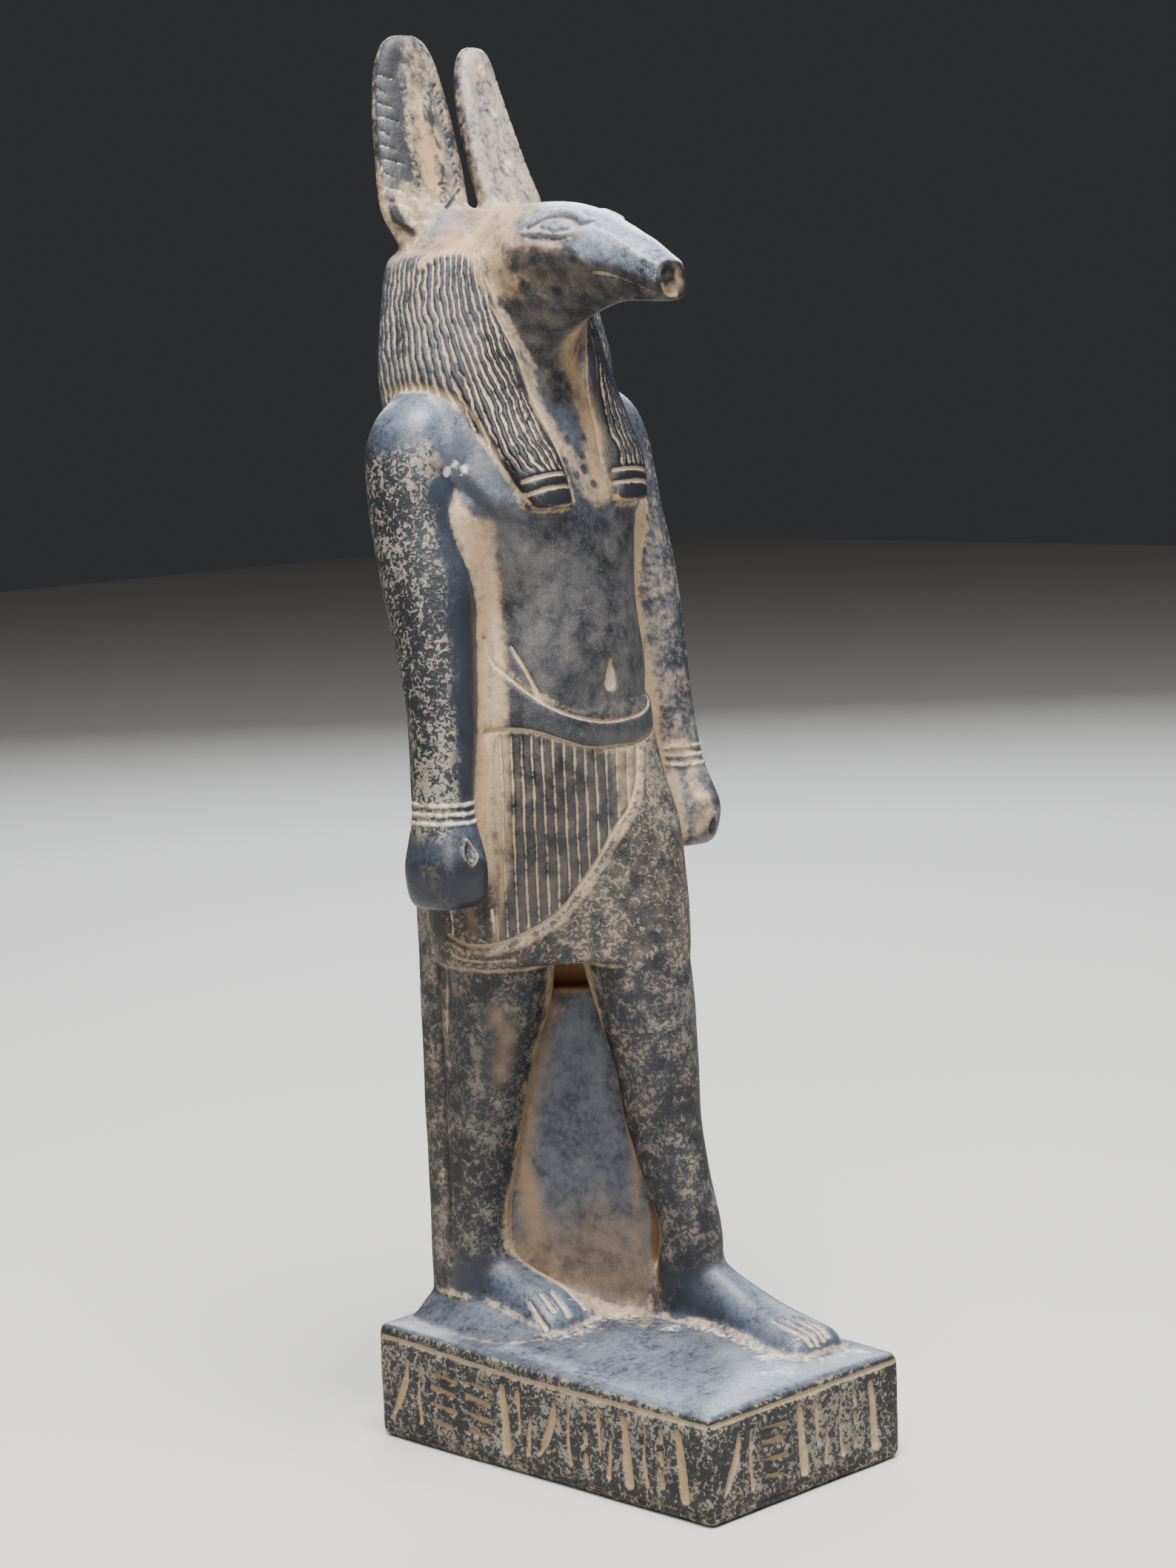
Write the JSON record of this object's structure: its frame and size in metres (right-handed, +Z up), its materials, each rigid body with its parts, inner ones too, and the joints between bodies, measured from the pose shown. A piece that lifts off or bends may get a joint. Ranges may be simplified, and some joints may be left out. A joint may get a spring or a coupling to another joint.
{
  "type": "seth statue",
  "caption": "Carved dark stone statue of a striding figure with a long-eared, long-snouted beast's head, a striped wig and a kilt, backed by a pillar on a block plinth.",
  "frame": {"origin": "middle of the underside of the plinth, on the surface the statue stands on", "axes": "+Z up; the figure looks along -Y and its left side is +X"},
  "size_m": [0.0704, 0.082, 0.25],
  "materials": {
    "stone": "dark blue-grey stone with a soft polish on the bare planes, peened patches, and sand-coloured dust in the carving"
  },
  "bodies": {
    "root": {"statue": "stone"}
  },
  "joints": []
}
